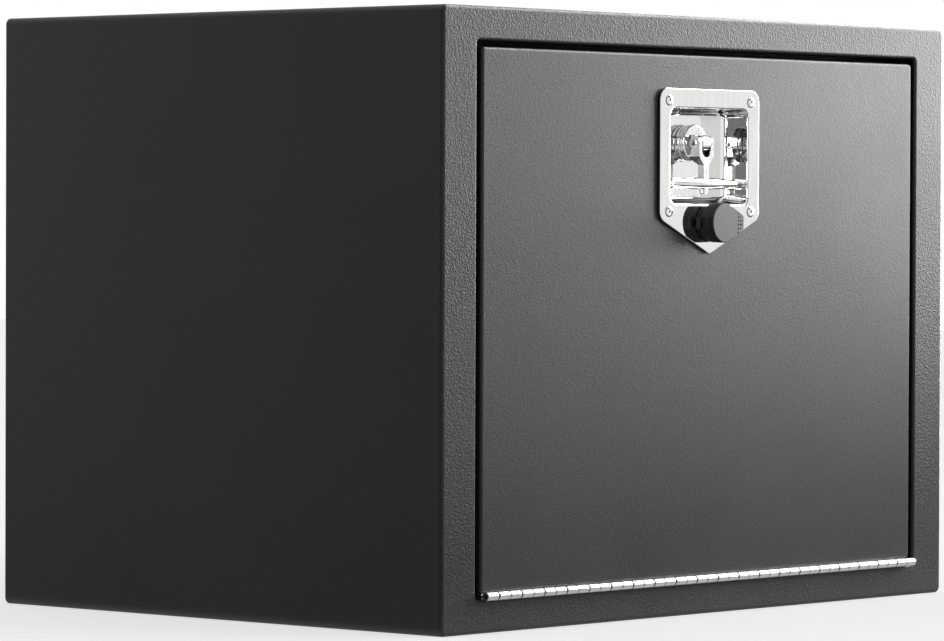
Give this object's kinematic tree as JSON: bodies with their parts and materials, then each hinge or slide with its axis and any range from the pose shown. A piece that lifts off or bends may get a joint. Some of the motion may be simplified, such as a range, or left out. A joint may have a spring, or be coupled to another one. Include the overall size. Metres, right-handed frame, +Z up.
{
  "type": "underbody truck tool box",
  "caption": "Welded steel box for the side of a truck, with a drop-down door on a full-width hinge, a folding T-handle latch in a sunk dish and a capped key lock.",
  "frame": {"origin": "middle of the base, on the surface that the box rests on", "axes": "+X along the width, to the right as one faces the door; +Y from the door to the back; +Z up"},
  "size_m": [0.6096, 0.475, 0.4572],
  "materials": {
    "powder_coat": "black powder coat with a fine texture",
    "polished_steel": "mirror-polished stainless steel",
    "hinge_steel": "bright mill-finish stainless steel",
    "plated_steel": "zinc-plated steel",
    "rubber": "black moulded rubber"
  },
  "bodies": {
    "box": {"body_wrapper": "powder_coat", "back_panel": "powder_coat", "front_frame": "powder_coat", "door_seal": "rubber", "latch_keeper": "plated_steel", "hinge_frame_leaf": "hinge_steel", "hinge_pin": "hinge_steel", "frame_cable_eye_left": "powder_coat", "frame_cable_eye_right": "powder_coat"},
    "door": {"door_panel": "powder_coat", "door_stiffener_left": "powder_coat", "door_stiffener_right": "powder_coat", "door_cable_eye_left": "powder_coat", "door_cable_eye_right": "powder_coat", "hinge_door_leaf": "hinge_steel", "latch_plate": "polished_steel", "latch_gasket": "rubber", "plate_rivet_upper_left": "polished_steel", "plate_rivet_upper_right": "polished_steel", "plate_rivet_lower_left": "polished_steel", "plate_rivet_lower_right": "polished_steel", "spindle_collar": "polished_steel", "spindle_bush": "polished_steel", "lock_housing": "polished_steel", "lock_nut": "polished_steel", "cap_ring": "rubber", "cap_pin": "rubber"},
    "latch_spindle": {"spindle": "polished_steel", "latch_cam": "plated_steel", "cam_nut": "plated_steel"},
    "handle": {"t_handle": "polished_steel", "handle_pin": "polished_steel"},
    "key_plug": {"lock_plug": "polished_steel", "lock_tongue": "polished_steel", "tongue_screw": "polished_steel"},
    "lock_cap": {"weather_cap": "rubber"}
  },
  "joints": [
    {"name": "door_hinge", "type": "hinge", "parent": "box", "child": "door", "pos_m": [0, -0.233, 0.02725], "axis": [1, 0, 0], "range_deg": [0, 90]},
    {"name": "latch_turn", "type": "hinge", "parent": "door", "child": "latch_spindle", "pos_m": [0, -0.2108, 0.3609], "axis": [0, 1, 0], "range_deg": [0, 90]},
    {"name": "handle_fold", "type": "hinge", "parent": "latch_spindle", "child": "handle", "pos_m": [0, -0.2215, 0.3609], "axis": [-1, 0, 0], "range_deg": [0, 90]},
    {"name": "plug_turn", "type": "hinge", "parent": "door", "child": "key_plug", "pos_m": [0, -0.2312, 0.2999], "axis": [0, 1, 0], "range_deg": [0, 90]},
    {"name": "cap_swing", "type": "hinge", "parent": "door", "child": "lock_cap", "pos_m": [-0.0185, -0.2348, 0.2999], "axis": [0, 0, -1], "range_deg": [0, 110]}
  ],
  "couplings": [
    {"joint": "handle_fold", "follows": "latch_turn", "ratio": 1}
  ]
}
